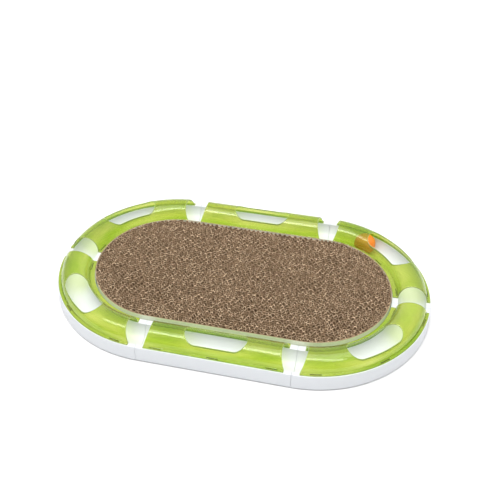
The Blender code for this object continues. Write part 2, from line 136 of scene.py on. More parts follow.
# Half the floor's side, how far back the backdrop is at its brightest, and the camera's picture and reach
FLOOR_HALF, BACKDROP_EDGE = 6.0, 0.9
PHOTO_WIDTH, CLIP = 500, (0.01, 100.0)

# Angles, least distances, and how far cutting and hidden shapes run past what they meet
QUARTER_TURN = math.pi / 2
SHARP_ANGLE = math.radians(35)
MERGE_DISTANCE = 0.000002
LEAST_SPOKE = 0.000001
CELL_OVERLAP = 0.0001
OVERCUT = 0.0040


def length(name, description, default):
    """A length that the user can change."""
    settings = {"name": name, "description": description, "default": default}
    return FloatProperty(**settings, min=0.0, unit="LENGTH", precision=5)


def count(name, description, default):
    """A count that the user can change."""
    return IntProperty(name=name, description=description, default=default, min=1)


def number(name, description, default):
    """A number that the user can change."""
    return FloatProperty(name=name, description=description, default=default)


def colour(name, description, default):
    """A colour that the user can change."""
    settings = {"name": name, "description": description, "default": default}
    return FloatVectorProperty(**settings, size=3, min=0.0, max=1.0, subtype="COLOR")


def angle(name, description, default):
    """An angle that the user can change."""
    settings = {"name": name, "description": description, "default": math.radians(default)}
    return FloatProperty(**settings, subtype="ANGLE")


class TrackSizes(bpy.types.PropertyGroup):
    """Sizes of the trough sections, with what the frame gives as defaults."""

    track_radius: length("Track radius", "Middle of the track to the end's middle", TRACK_RADIUS)
    straight_length: length("Straight", "Length of a straight section", STRAIGHT_LENGTH)
    skirt_foot: length("Skirt foot", "Foot of the skirt, from the track's middle", SKIRT_FOOT)
    skirt_draft: length("Skirt draft", "How far the skirt leans out at its foot", 0.0016)
    skirt_lift: length("Skirt lift", "Clearance of the skirt over the floor", BASE_LOW.z)
    base_height: length("Base height", "Height of the white rims", BASE_HIGH.z)
    base_wall: length("Base wall", "Wall of the white sections", 0.0022)
    tunnel_radius: length("Tunnel radius", "Inside of trough and cover", 0.0227)
    well_width: length("Well wall", "Track's middle to the wall round the pad", 0.0330)
    ledge_top: length("Ledge top", "Height of the ledge that carries the pad", 0.0030)
    seat_gap: length("Seat gap", "Clearance below covers and pad", 0.0003)
    seam_gap: length("Seam gap", "Clearance between sections", 0.0003)
    rim_ease: length("Rim rounding", "Rounding of the outer and inner rims", 0.0008)
    skirt_edge: length("Skirt edge", "Height of the skirt's lower edge on the outside", 0.0023)
    edge_ease: length("Edge rounding", "Rounding of small edges", 0.0004)
    trough_steps: count("Trough steps", "Facets across a trough", 40)
    run_steps: count("Run steps", "Facets along a curved section", 48)
    bay_count: count("Bays", "Bays under a section", 3)
    rib_wall: length("Rib wall", "Wall of the ribs between bays", 0.0018)
    rib_lift: length("Rib lift", "How far ribs stop short of the skirt's foot", 0.0020)


class CoverSizes(bpy.types.PropertyGroup):
    """Sizes of the clear covers."""

    wall: length("Cover wall", "Wall of the clear covers", 0.0018)
    flange_edge: length("Flange edge", "Edge of the flange, from the track's middle", FLANGE_EDGE)
    inner_flange: length("Inner flange", "Edge of the flange beside the pad, from the track's middle", 0.0322)
    foot_fillet: length("Foot fillet", "Fillet between arch and flange", 0.0012)
    mouth_setback: length("Mouth setback", "Seam to the foot of the cover's mouth", 0.0120)
    mouth_lean: length("Mouth lean", "How far the mouth leans back at the crown", 0.0075)
    window_width: length("Window width", "Width of the window in the crown", 0.0366)
    window_length: length("Window length", "Length of the window", 0.0980)
    tab_length: length("Tab length", "Length of a tab under the flange", 0.0180)
    tab_thickness: length("Tab thickness", "Thickness of a tab", 0.0016)
    tab_depth: length("Tab depth", "How far a tab reaches below the seat", COVER_LOW.z)
    tab_end_distance: length("Tab from seam", "Seam to the middle of the first tab", 0.0315)
    tab_clearance: length("Tab clearance", "Room round a tab in its slot", 0.0003)
    edge_ease: length("Edge rounding", "Rounding of the flange edges", 0.0007)


class PadSizes(bpy.types.PropertyGroup):
    """Sizes of the corrugated pad and its paper band."""

    top: length("Pad top", "Height of the scratching face", CORE_HIGH.z)
    bottom: length("Pad bottom", "Height of the pad's underside", CORE_LOW.z)
    core_radius: length("Core radius", "Round end of the board, without the band", CORE_HIGH.y)
    band_radius: length("Band radius", "Round end of the pad with its band", BAND_RADIUS)
    band_wall: length("Band wall", "Thickness of the paper band", 0.0009)
    band_drop: length("Band drop", "How far the worn band ends below the scratching face", 0.0005)
    strip_pitch: length("Strip pitch", "Thickness of one strip of board", 0.0050)
    flute_wave: length("Flute wave", "Length of one wave of the fluting", 0.0085)
    flute_swing: length("Flute swing", "How far a wave swings to each side", 0.0021)
    liner_paper: length("Liner paper", "Thickness of the flat paper", 0.0005)
    flute_paper: length("Flute paper", "Thickness of the waved paper", 0.0006)
    cell_depth: length("Cell depth", "Modelled depth of the open cells", 0.0080)
    fray: length("Fray", "How far the worn edges of the waved paper drop at most", 0.0009)
    liner_drop: length("Liner drop", "How far the flat paper stays below the waved paper", 0.0003)
    liner_wear: length("Liner wear", "How far the worn edges of the flat paper drop at most", 0.0024)
    wave_steps: count("Wave steps", "Straight pieces in one wave", 8)
    seed: IntProperty(name="Seed", description="Seed of the worn edges", default=7)


class FinishColours(bpy.types.PropertyGroup):
    """Colours of the finishes."""

    white: colour("White", "Moulded white plastic", (0.69, 0.712, 0.738))
    green_skin: colour("Green skin", "Tint of the covers where light goes in and out", (0.58, 0.69, 0.066))
    # Partly painted reflection: paler streaks of tint along the covers that stand in for streaky reflections,
    # besides random tone
    green_streak_and_reflection: colour("Green streak", "Tint of the covers in their paler streaks", (0.90, 0.84, 0.20))
    green_depth: colour("Green depth", "What one wall of a cover lets through inside", (0.75, 0.86, 0.76))
    green_edge: colour("Green edge", "Cut edges of mouths and windows", (0.62, 0.80, 0.31))
    board: colour("Board", "Corrugated board in the light", (0.41, 0.275, 0.165))
    # Partly wear and partly painted highlight: pale worn paper on the top edges, made paler where they catch
    # the light
    board_edge_wear_and_highlight: colour("Board edge", "Worn paper edges that catch the light", (1.00, 0.75, 0.50))
    # Painted shade: a shaded copy of the board, given to it deep in its cells and in the flecks underneath
    board_shade: colour("Board shade", "Corrugated board deep in its cells", (0.050, 0.029, 0.016))
    paper: colour("Paper", "Band round the pad", (0.87, 0.90, 0.73))
    rubber: colour("Rubber", "Feet", (0.055, 0.055, 0.06))
    ball: colour("Ball", "Ball in the track", (0.90, 0.25, 0.03))
    floor: colour("Floor", "Floor and surroundings", (0.86, 0.86, 0.86))


class StageSettings(bpy.types.PropertyGroup):
    """Camera and light."""

    azimuth: angle("Azimuth", "Camera's turn from the front", 13.87)
    elevation: angle("Elevation", "Camera's height angle", 42.11)
    roll: angle("Roll", "Camera's roll", -0.42)
    distance: length("Distance", "Camera to the object's origin", 1.3427)
    focal_pixels: number("Focal length", "In the photo's pixels", 780.09)
    origin_column: number("Origin column", "Where the origin shows", 241.26)
    origin_row: number("Origin row", "Where the origin shows", 291.69)
    horizon: number("Horizon", "Brightness of the surroundings at eye level", 0.03)
    zenith: number("Zenith", "Brightness of the surroundings straight above", 0.95)
    backdrop: number("Backdrop", "Brightness behind, at eye level", 0.8)
    overhead_power: number("Overhead", "Power of the soft overhead light", 60.0)
    strip_power: number("Strip", "Power of the narrow strip light", 88.0)


class Value:
    """What a node gives, which plain arithmetic turns into more nodes of the same tree."""

    def __init__(self, socket):
        self.socket = socket
        self.tree = socket.node.id_data

    def __add__(self, other):
        return calculate("ADD", self, other)

    def __sub__(self, other):
        return calculate("SUBTRACT", self, other)

    def __mul__(self, other):
        return calculate("MULTIPLY", self, other)

    def __truediv__(self, other):
        return calculate("DIVIDE", self, other)

    def __abs__(self):
        return calculate("ABSOLUTE", self)


def feed(node, inputs):
    """Feeds a node's inputs with what other nodes give, or with plain values."""
    for key, value in inputs.items():
        if isinstance(value, Value):
            node.id_data.links.new(value.socket, node.inputs[key])
        else:
            node.inputs[key].default_value = value


def results(tree, kind, inputs=None, **settings):
    """All that a new node with these settings and inputs gives, by name."""
    node = tree.nodes.new(kind)
    for name, value in settings.items():
        setattr(node, name, value)
    feed(node, inputs or {})
    return {socket.name: Value(socket) for socket in node.outputs if socket.enabled}


def add_node(tree, kind, inputs=None, **settings):
    """What a new node with these settings and inputs gives first."""
    return next(iter(results(tree, kind, inputs, **settings).values()))


def calculate(operation, first, *others):
    """The result of a Math node."""
    return add_node(first.tree, "ShaderNodeMath", dict(enumerate((first, *others))), operation=operation)


def least(first, second):
    """The lesser of two values."""
    return calculate("MINIMUM", first, second)


def greatest(first, second):
    """The greater of two values."""
    return calculate("MAXIMUM", first, second)


def split(vector):
    """The X, Y and Z of a vector."""
    return results(vector.tree, "ShaderNodeSeparateXYZ", {0: vector}).values()


def joined(tree, x=0.0, y=0.0, z=0.0):
    """A vector of these parts."""
    return add_node(tree, "ShaderNodeCombineXYZ", {"X": x, "Y": y, "Z": z})


def stretched(vector, scale):
    """A vector, its X, Y and Z each times its own scale."""
    return add_node(vector.tree, "ShaderNodeVectorMath", {0: vector, 1: scale}, operation="MULTIPLY")


def noise(vector, scale, detail=3.0, roughness=0.5):
    """Soft random blotches, from 0 to 1."""
    inputs = {"Vector": vector, "Scale": scale, "Detail": detail, "Roughness": roughness}
    return add_node(vector.tree, "ShaderNodeTexNoise", inputs)


def position(tree):
    """Where the points are."""
    return add_node(tree, "GeometryNodeInputPosition")


def attribute_of(tree, name, kind):
    """A named attribute of the points."""
    return add_node(tree, "GeometryNodeInputNamedAttribute", {"Name": name}, data_type=kind)


def half_chord(radius, away):
    """Half the chord of a circle this far from its middle."""
    return calculate("SQRT", greatest(radius * radius - away * away, 0.0))


def dragged(path, outline):
    """A closed solid that an outline leaves along a path, with its own up kept upright."""
    upright = add_node(path.tree, "GeometryNodeSetCurveNormal", {"Curve": path}, mode="Z_UP")
    inputs = {"Curve": upright, "Profile Curve": outline, "Fill Caps": True}
    return add_node(path.tree, "GeometryNodeCurveToMesh", inputs)


def new_tree(name, inputs):
    """A Geometry Nodes tree with a geometry going in and out, and named inputs besides."""
    tree = bpy.data.node_groups.new(name, "GeometryNodeTree")
    for socket, kind in {"Geometry": "Geometry", **inputs}.items():
        tree.interface.new_socket(socket, in_out="INPUT", socket_type=f"NodeSocket{kind}")
    tree.interface.new_socket("Geometry", in_out="OUTPUT", socket_type="NodeSocketGeometry")
    return tree, results(tree, "NodeGroupInput")


def close_tree(geometry, finish):
    """Ends a tree: instances made real, and a finish set."""
    real = add_node(geometry.tree, "GeometryNodeRealizeInstances", {"Geometry": geometry})
    painted = add_node(geometry.tree, "GeometryNodeSetMaterial", {"Geometry": real, "Material": finish})
    feed(geometry.tree.nodes.new("NodeGroupOutput"), {0: painted})
    return geometry.tree


def section_tree():
    """A tree that drags an outline along a path and then bends it round a straight or curved run.

    The path's points carry how far the outline is drawn in there, the outline's points which way is out.
    """
    inputs = {"Outline": "Object", "Track Radius": "Float", "Run Length": "Float", "Curved": "Bool"}
    tree, given = new_tree("Track Section", {**inputs, "Finish": "Material"})
    radius = given["Track Radius"]
    path = add_node(tree, "GeometryNodeMeshToCurve", {"Mesh": given["Geometry"]})
    shape = results(tree, "GeometryNodeObjectInfo", {"Object": given["Outline"]})["Geometry"]
    turned_over = add_node(tree, "GeometryNodeTransform", {"Geometry": shape, "Scale": (-1.0, -1.0, 1.0)})
    outline = add_node(tree, "GeometryNodeMeshToCurve", {"Mesh": turned_over})
    along, across, up = split(position(tree))
    out_across, out_up, _ = split(attribute_of(tree, "outward", "FLOAT_VECTOR"))
    inset = attribute_of(tree, "inset", "FLOAT")
    reach = radius + (across - inset * out_across)
    height = up - inset * out_up
    turn = along / radius
    bent = joined(tree, reach * calculate("COSINE", turn), reach * calculate("SINE", turn), height)
    straight = joined(tree, given["Run Length"] * 0.5 - along, reach, height)
    ways = {"Switch": given["Curved"], "False": straight, "True": bent}
    either = add_node(tree, "GeometryNodeSwitch", ways, input_type="VECTOR")
    moved = {"Geometry": dragged(path, outline), "Position": either}
    geometry = add_node(tree, "GeometryNodeSetPosition", moved)
    for name in ("outward", "inset"):
        geometry = add_node(tree, "GeometryNodeRemoveAttribute", {"Geometry": geometry, "Name": name})
    return close_tree(geometry, given["Finish"])


def strip_lines(given, rows, slack):
    """Straight lines along X, this many rows a pitch apart, each as long as the oval is there."""
    tree, pitch = rows.tree, given["Pitch"]
    first = (rows - 1.0) * 0.5 * pitch * -1.0
    inputs = {"Count": rows, "Start Location": joined(tree, y=first), "Offset": joined(tree, y=pitch)}
    line = add_node(tree, "GeometryNodeMeshLine", inputs, mode="OFFSET")
    _, across, _ = split(position(tree))
    reach = given["Half Straight"] + half_chord(given["Radius"], greatest(abs(across) - slack, 0.0))
    ends = {"Start": (-1.0, 0.0, 0.0), "End": (1.0, 0.0, 0.0)}
    unit = add_node(tree, "GeometryNodeCurvePrimitiveLine", ends)
    inputs = {"Points": line, "Instance": unit, "Scale": joined(tree, reach, 1.0, 1.0)}
    lines = add_node(tree, "GeometryNodeInstanceOnPoints", inputs)
    return add_node(tree, "GeometryNodeRealizeInstances", {"Geometry": lines})


def paper_tree(waved):
    """A tree for the pad's upright papers: the flat liners between strips, or the waves inside them."""
    lengths = ("Pitch", "Wave", "Swing", "Paper", "Depth", "Top", "Half Straight", "Radius", "Fray", "Step")
    inputs = {name: "Float" for name in lengths} | {"Strips": "Int", "Seed": "Int", "Finish": "Material"}
    tree, given = new_tree("Board Flutes" if waved else "Board Liners", inputs)
    rows, slack = (given["Strips"], given["Swing"]) if waved else (given["Strips"] - 1.0, 0.0)
    inputs = {"Curve": strip_lines(given, rows, slack), "Length": given["Step"]}
    fine = add_node(tree, "GeometryNodeResampleCurve", inputs, mode="LENGTH")
    along, across, _ = split(position(tree))
    if waved:
        wander = noise(stretched(position(tree), WANDER_SCALE), scale=1.0, detail=2.0)
        turn = along / given["Wave"] * (2 * math.pi) + wander * WANDER_TURN
        crests = calculate("SINE", turn) * CREST_GAIN
        across = across + greatest(least(crests, 1.0), -1.0) * given["Swing"]
    room = half_chord(given["Radius"], greatest(abs(along) - given["Half Straight"], 0.0))
    kept = least(abs(across), room) * calculate("SIGN", across)
    middle = given["Top"] - given["Depth"] * 0.5
    inputs = {"Geometry": fine, "Position": joined(tree, along, kept, middle)}
    path = add_node(tree, "GeometryNodeSetPosition", inputs)
    size = {"Width": given["Paper"], "Height": given["Depth"]}
    sheet = dragged(path, add_node(tree, "GeometryNodeCurvePrimitiveQuadrilateral", size))
    return close_tree(worn_top(sheet, given, middle), given["Finish"])


def worn_top(sheet, given, middle):
    """Drops the edges of a sheet above its middle by a random share of the fray."""
    _, _, height = split(position(sheet.tree))
    chance = add_node(sheet.tree, "FunctionNodeRandomValue", {"Seed": given["Seed"]}, data_type="FLOAT")
    drop = joined(sheet.tree, z=chance * given["Fray"] * -1.0)
    above = calculate("GREATER_THAN", height, middle)
    return add_node(
        sheet.tree, "GeometryNodeSetPosition", {"Geometry": sheet, "Selection": above, "Offset": drop}
    )


def feet_tree():
    """A tree that puts a foot at each point."""
    tree, given = new_tree("Rubber Feet", {"Foot": "Object", "Finish": "Material"})
    foot = results(tree, "GeometryNodeObjectInfo", {"Object": given["Foot"]})["Geometry"]
    feet = add_node(tree, "GeometryNodeInstanceOnPoints", {"Points": given["Geometry"], "Instance": foot})
    return close_tree(feet, given["Finish"])


def placed_object(name, data):
    """A new object in the scene."""
    made = bpy.data.objects.new(name, data)
    bpy.context.scene.collection.objects.link(made)
    return made


def evaluated(item):
    """The plain mesh of an object with its modifiers."""
    graph = bpy.context.evaluated_depsgraph_get()
    return bpy.data.meshes.new_from_object(item.evaluated_get(graph))


def grown(mesh, tree, values):
    """The plain mesh that a tree makes of this one with these named inputs."""
    carrier = placed_object("carrier", mesh)
    modifier = carrier.modifiers.new(tree.name, "NODES")
    modifier.node_group = tree
    for item in tree.interface.items_tree:
        if item.in_out == "INPUT" and item.name in values:
            modifier[item.identifier] = values[item.name]
    result = evaluated(carrier)
    carrier.modifiers.remove(modifier)
    bpy.data.objects.remove(carrier)
    return result


def arc(radius, start, end, steps, centre=(0.0, 0.0)):
    """Points round part of a circle, both ends included."""
    angles = [start + (end - start) * k / steps for k in range(steps + 1)]
    return [(centre[0] + radius * math.cos(a), centre[1] + radius * math.sin(a)) for a in angles]


def eased(corners):
    """A closed outline of corners, each an offset, a height and the radius that rounds it."""
    outline = []
    for k, (x, y, radius) in enumerate(corners):
        if not radius:
            outline.append((x, y))
            continue
        here = Vector((x, y))
        before, after = ((Vector(corners[n % len(corners)][:2]) - here).normalized() for n in (k - 1, k + 1))
        half = before.angle(after) / 2
        middle = here + (before + after).normalized() * (radius / math.sin(half))
        spokes = [here + side * (radius / math.tan(half)) - middle for side in (before, after)]
        start, end = (math.atan2(spoke.y, spoke.x) for spoke in spokes)
        turn = (end - start + math.pi) % (2 * math.pi) - math.pi
        outline += arc(radius, start, start + turn, CORNER_STEPS, middle)
    return outline


def outward_directions(outline):
    """Which way is out at each point of a closed outline, long enough at corners to keep a set-back even."""
    points = [Vector(point) for point in outline]
    following = [*points[1:], points[0]]
    hand = math.copysign(1.0, sum(a.x * b.y - a.y * b.x for a, b in zip(points, following)))
    found = []
    for before, here, after in zip([points[-1], *points], points, following):
        sides = [hand * (b - a).normalized() for a, b in ((before, here), (here, after))]
        first, second = (Vector((side.y, -side.x)) for side in sides)
        found.append((first + second) / (1.0 + first.dot(second)))
    return found


def wire(outline):
    """A closed loop of edges through these points, which know the way out."""
    mesh = bpy.data.meshes.new("outline")
    total = len(outline)
    mesh.from_pydata([(x, y, 0.0) for x, y in outline], [(k, (k + 1) % total) for k in range(total)], [])
    outward = mesh.attributes.new("outward", "FLOAT_VECTOR", "POINT")
    for item, way in zip(outward.data, outward_directions(outline)):
        item.vector = (*way, 0.0)
    return mesh


def path_along(stations):
    """A line of edges through these distances, each with how far an outline is drawn in there."""
    mesh = bpy.data.meshes.new("path")
    mesh.from_pydata([(s, 0.0, 0.0) for s, _ in stations], [(k, k + 1) for k in range(len(stations) - 1)], [])
    inset = mesh.attributes.new("inset", "FLOAT", "POINT")
    inset.data.foreach_set("value", [drawn for _, drawn in stations])
    return mesh


def bmesh_of(mesh):
    """A bmesh of this mesh."""
    bm = bmesh.new()
    bm.from_mesh(mesh)
    return bm


def mesh_from(bm, name):
    """Closes a bmesh into mesh data, with doubles merged and faces pointing out."""
    bmesh.ops.remove_doubles(bm, verts=bm.verts, dist=MERGE_DISTANCE)
    bmesh.ops.recalc_face_normals(bm, faces=bm.faces)
    mesh = bpy.data.meshes.new(name)
    bm.to_mesh(mesh)
    bm.free()
    return mesh


def turned(side, steps, name):
    """A solid turned about Z from a side view that starts and ends on the axis."""
    bm = bmesh.new()
    points = [bm.verts.new((x, 0, z)) for x, z in side]
    edges = [bm.edges.new(pair) for pair in zip(points, points[1:])]
    whole = [*points, *edges]
    bmesh.ops.spin(bm, geom=whole, cent=(0, 0, 0), axis=(0, 0, 1), angle=2 * math.pi, steps=steps)
    return mesh_from(bm, name)


def combined(mesh, others, operation):
    """The mesh after an exact Boolean with each of the other meshes."""
    body = placed_object("body", mesh)
    helpers = [placed_object("helper", other) for other in others]
    for helper in helpers:
        step = body.modifiers.new("step", "BOOLEAN")
        step.operation = operation
        step.solver = "EXACT"
        step.object = helper
    result = evaluated(body)
    for item in (body, *helpers):
        bpy.data.objects.remove(item)
    return result


class Run:
    """A track section in its own frame: a quarter turn about the origin, or a straight along -X."""

    def __init__(self, scene, curved):
        self.sizes, self.cover = scene.scratcher_track, scene.scratcher_cover
        self.radius = self.sizes.track_radius
        self.curved = curved
        self.length = self.radius * QUARTER_TURN if curved else self.sizes.straight_length
        self.seat = self.sizes.base_height + self.sizes.seat_gap

    def point(self, distance, offset, height):
        """The point this far along, this far outside the middle of the track and this high."""
        reach = self.radius + offset
        if not self.curved:
            return Vector((self.length / 2 - distance, reach, height))
        turn = distance / self.radius
        return Vector((reach * math.cos(turn), reach * math.sin(turn), height))

    def behind_plane(self, depth, offset):
        """How far along lies the plane across the run that is this deep past its seam."""
        if not self.curved:
            return depth
        return self.radius * math.asin(depth / (self.radius + offset))

    def frame(self, distance):
        """A frame on the middle of the track: X along it, Y outwards, Z up."""
        origin = self.point(distance, 0.0, 0.0)
        out = (self.point(distance, self.radius, 0.0) - origin).normalized()
        axes = Matrix((Vector((-out.y, out.x, 0.0)), out, Vector((0.0, 0.0, 1.0)))).transposed()
        return Matrix.Translation(origin) @ axes.to_4x4()

    def walls(self):
        """How far along stand the end walls and the ribs between them."""
        first = self.sizes.seam_gap / 2 + self.sizes.base_wall / 2
        bay = (self.length - 2 * first) / self.sizes.bay_count
        return [first + bay * k for k in range(self.sizes.bay_count + 1)]

    def swept(self, tree, outline, start, end, finish, ease=0.0):
        """A solid of this outline between two distances along the run, its end edges eased."""
        turns = [QUARTER_TURN * k / EASE_STEPS for k in range(EASE_STEPS)] if ease else []
        near = [(start + ease * (1 - math.cos(t)), ease * (1 - math.sin(t))) for t in turns]
        far = [(start + end - s, drawn) for s, drawn in reversed(near)]
        steps = max(2, round(self.sizes.run_steps * (end - start) / self.length))
        first, last = start + ease, end - ease
        middle = [(first + (last - first) * k / steps, 0.0) for k in range(steps + 1)]
        shape = placed_object("outline", wire(outline))
        values = {"Outline": shape, "Track Radius": self.radius, "Run Length": self.length}
        values |= {"Curved": self.curved, "Finish": finish}
        made = grown(path_along([*near, *middle, *far]), tree, values)
        bpy.data.objects.remove(shape)
        return mesh_from(bmesh_of(made), "section")


def block(matrix, low, high):
    """A box between two corners of a frame."""
    bm = bmesh.new()
    bmesh.ops.create_cube(bm, size=1.0)
    middle = (Vector(high) + Vector(low)) / 2
    shape = matrix @ Matrix.Translation(middle) @ Matrix.Diagonal((*(Vector(high) - Vector(low)), 1.0))
    bmesh.ops.transform(bm, matrix=shape, verts=bm.verts)
    return mesh_from(bm, "block")


def add_piece(name, mesh, finishes, place=None):
    """A new piece with its place in its mesh."""
    data = mesh.copy()
    data.name = name
    if place:
        data.transform(place)
    slots = [face.material_index for face in data.polygons]
    data.materials.clear()
    for finish in finishes:
        data.materials.append(finish)
    data.polygons.foreach_set("material_index", slots)
    data.shade_smooth()
    data.set_sharp_from_angle(angle=SHARP_ANGLE)
    return placed_object(name, data)


def hand_over(piece, body, slot, *nodes):
    """Lets a finished piece ride on its body and stand for these nodes."""
    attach(piece, body)
    if nodes:
        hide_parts(*nodes)


def new_finish(name):
    """A material, and the object coordinates in its tree."""
    made = bpy.data.materials.new(name)
    made.use_nodes = True
    return made, results(made.node_tree, "ShaderNodeTexCoord")["Object"]


def shade(finish, inputs):
    """Feeds the shader of a finish."""
    feed(finish.node_tree.nodes["Principled BSDF"], inputs)
    return finish


def spread(value, low, high, to_low=0.0, to_high=1.0):
    """Maps a range of values onto another, held at its ends."""
    inputs = {"Value": value, "From Min": low, "From Max": high, "To Min": to_low, "To Max": to_high}
    return add_node(value.tree, "ShaderNodeMapRange", inputs)


def mixed(share, first, second):
    """One colour turning into another."""
    first, second = (part if isinstance(part, Value) else (*part, 1.0) for part in (first, second))
    return add_node(share.tree, "ShaderNodeMix", {0: share, 6: first, 7: second}, data_type="RGBA")


def relief(height, strength, distance):
    """A surface relief of this height."""
    inputs = {"Height": height, "Strength": strength, "Distance": distance}
    return add_node(height.tree, "ShaderNodeBump", inputs)


def white_plastic(colours):
    """Moulded white plastic, satin, with faint handling marks."""
    made, here = new_finish("white_plastic")
    white = Vector(colours.white)
    scuffs = spread(noise(here, scale=160.0, detail=6.0, roughness=0.65), 0.60, 0.74)
    tone = mixed(noise(here, scale=14.0), white * 0.985, white * 1.015)
    looks = {
        "Base Color": mixed(scuffs * 0.10, tone, white * 0.80),
        "Roughness": spread(noise(here, scale=60.0), 0.3, 0.7, to_low=0.30, to_high=0.42),
        "Normal": relief(noise(here, scale=1400.0, detail=2.0), strength=0.12, distance=0.00004),
    }
    return shade(made, looks)


def clear_green(colours, wall, edge):
    """Clear green plastic, yellower where light goes in and out and greener the longer it runs inside."""
    made, here = new_finish("clear_green_edge" if edge else "clear_green_plastic")
    skin, clearness, satin = (*colours.green_edge, 1.0), 0.75, (0.16, 0.24)
    if not edge:
        # Paler streaks along the covers: random tone, and in part a painted reflection
        streak = spread(noise(stretched(here, STREAK_SCALE), scale=1.0, roughness=0.6), 0.36, 0.64)
        skin, clearness, satin = mixed(streak, colours.green_skin, colours.green_streak_and_reflection), 0.90, (0.06, 0.14)
    looks = {
        "Base Color": skin,
        "Transmission Weight": clearness,
        "IOR": 1.46,
        "Roughness": spread(noise(here, scale=90.0), 0.35, 0.7, *satin),
        "Normal": relief(noise(here, scale=45.0, detail=2.0), strength=0.10, distance=0.00008),
    }
    shade(made, looks)
    tree = made.node_tree
    ray = results(tree, "ShaderNodeLightPath")
    plain = greatest(ray["Is Shadow Ray"], ray["Is Diffuse Ray"])
    tinted = add_node(tree, "ShaderNodeBsdfTransparent", {"Color": SHADOW_GREEN})
    plastic = Value(tree.nodes["Principled BSDF"].outputs[0])
    layers = {"Surface": add_node(tree, "ShaderNodeMixShader", {0: plain, 1: plastic, 2: tinted})}
    if not edge:
        inside = {"Color": (*(1.0 + math.log(c) for c in colours.green_depth), 1.0), "Density": 1.0 / wall}
        layers["Volume"] = add_node(tree, "ShaderNodeVolumeAbsorption", inside)
    feed(tree.nodes["Material Output"], layers)
    return made


def corrugated_board(colours, top, cell_depth):
    """Brown board, with pale flecks on its top edges that are partly wear and partly a painted highlight,
    painted shade deep in its cells, and flecks of painted shade underneath.
    """
    made, here = new_finish("corrugated_board")
    _, _, height = split(here)
    board, floor = Vector(colours.board), top - cell_depth
    fibre = noise(here, scale=900.0, detail=4.0, roughness=0.7)
    fleck = spread(noise(here, scale=200.0, detail=2.0, roughness=0.6), 0.46, 0.60)
    plain = mixed(spread(fibre, 0.3, 0.7), board * 0.75, board * 1.2)
    toned = mixed(spread(noise(here, scale=110.0), 0.38, 0.62, to_high=0.6), plain, board * 0.6)
    # Top edges of the papers get paler flecks: partly worn paper, partly a painted highlight
    worn = spread(height, top - 0.0012, top - 0.0002)
    lit = mixed(worn * fleck, toned, colours.board_edge_wear_and_highlight)
    # Painted shade: the board turns to the shade colour the deeper it lies in its cells
    depth = spread(height, top - cell_depth * 0.75, top - 0.0008)
    # Painted shade underneath: dark flecks where the open cells end, seen from below
    below = spread(height, floor - 0.004, floor - 0.002, to_low=1.0, to_high=0.0)
    ends = spread(noise(stretched(here, CELL_END_SHADE_SCALE), scale=1.0, detail=2.0), 0.40, 0.56, to_low=0.35)
    looks = {
        "Base Color": mixed(greatest(depth, below * ends), colours.board_shade, lit),
        "Roughness": 0.92,
        "Specular IOR Level": 0.2,
        "Normal": relief(fibre, strength=0.5, distance=0.0002),
    }
    return shade(made, looks)


def band_paper(colours, top):
    """Pale paper with faint fibres, worn brown along its top edge."""
    made, here = new_finish("band_paper")
    _, _, height = split(here)
    paper = Vector(colours.paper)
    fibre = noise(here, scale=700.0, detail=5.0, roughness=0.7)
    tone = mixed(spread(fibre, 0.3, 0.7), paper * 0.90, paper * 1.08)
    stained = mixed(spread(noise(here, scale=30.0), 0.4, 0.7, to_high=0.4), tone, paper * 0.82)
    worn = spread(height, top - 0.0004, top - 0.0001)
    looks = {
        "Base Color": mixed(worn, stained, Vector(colours.board) * 0.95),
        "Roughness": 0.85,
        "Specular IOR Level": 0.3,
        "Normal": relief(fibre, strength=0.3, distance=0.0001),
    }
    return shade(made, looks)


def foot_rubber(colours):
    """Dark matt rubber."""
    made, here = new_finish("foot_rubber")
    grain = noise(here, scale=1800.0)
    rubber = Vector(colours.rubber)
    looks = {
        "Base Color": mixed(grain, rubber * 0.7, rubber * 1.4),
        "Roughness": spread(grain, 0.3, 0.7, to_low=0.65, to_high=0.85),
        "Normal": relief(grain, strength=0.2, distance=0.00005),
    }
    return shade(made, looks)


def ball_plastic(colours):
    """Bright plastic with fine scratches from rolling."""
    made, here = new_finish("ball_plastic")
    ball = Vector(colours.ball)
    scratch = spread(noise(here, scale=260.0, detail=7.0, roughness=0.75), 0.58, 0.72)
    looks = {
        "Base Color": mixed(scratch * 0.25, ball, ball * 0.7),
        "Roughness": spread(scratch, 0.0, 1.0, to_low=0.22, to_high=0.45),
        "Normal": relief(scratch, strength=0.15, distance=0.00005),
    }
    return shade(made, looks)


def dip(radius, height, steps, lift=0.0):
    """A half circle hanging from this height, from its outer end to its inner end, cut off above the lift."""
    edge = math.asin(lift / radius)
    return arc(radius, -edge, -math.pi + edge, steps, (0.0, height))


def trough_outline(run):
    """A trough section seen end on, hollow not yet cut."""
    sizes = run.sizes
    ease, rim, height = sizes.edge_ease, sizes.rim_ease, sizes.base_height
    trough = dip(sizes.tunnel_radius, run.seat, sizes.trough_steps, sizes.seat_gap)
    well, ledge_end = -sizes.well_width, LEDGE_END - sizes.track_radius
    corners = [
        (sizes.skirt_foot, sizes.skirt_edge, ease),
        (sizes.skirt_foot - sizes.skirt_draft, height, rim),
        (*trough[0], ease),
        *((x, y, 0.0) for x, y in trough[1:-1]),
        (*trough[-1], ease),
        (well, height, rim),
        (well, sizes.ledge_top, rim),
        (ledge_end, sizes.ledge_top, ease),
        (ledge_end, sizes.skirt_lift, ease),
    ]
    return eased(corners)


def hollow_outline(run):
    """The space under a trough section, open at the floor."""
    sizes = run.sizes
    slope = sizes.skirt_draft / sizes.base_height
    inside, well = sizes.skirt_foot - sizes.base_wall, -sizes.well_width + sizes.base_wall
    underside = sizes.base_height - sizes.base_wall
    return [
        (inside + slope * OVERCUT, -OVERCUT),
        (inside - slope * underside, underside),
        *dip(sizes.tunnel_radius + sizes.base_wall, run.seat, sizes.trough_steps, run.seat - underside),
        (well, underside),
        (well, -OVERCUT),
    ]


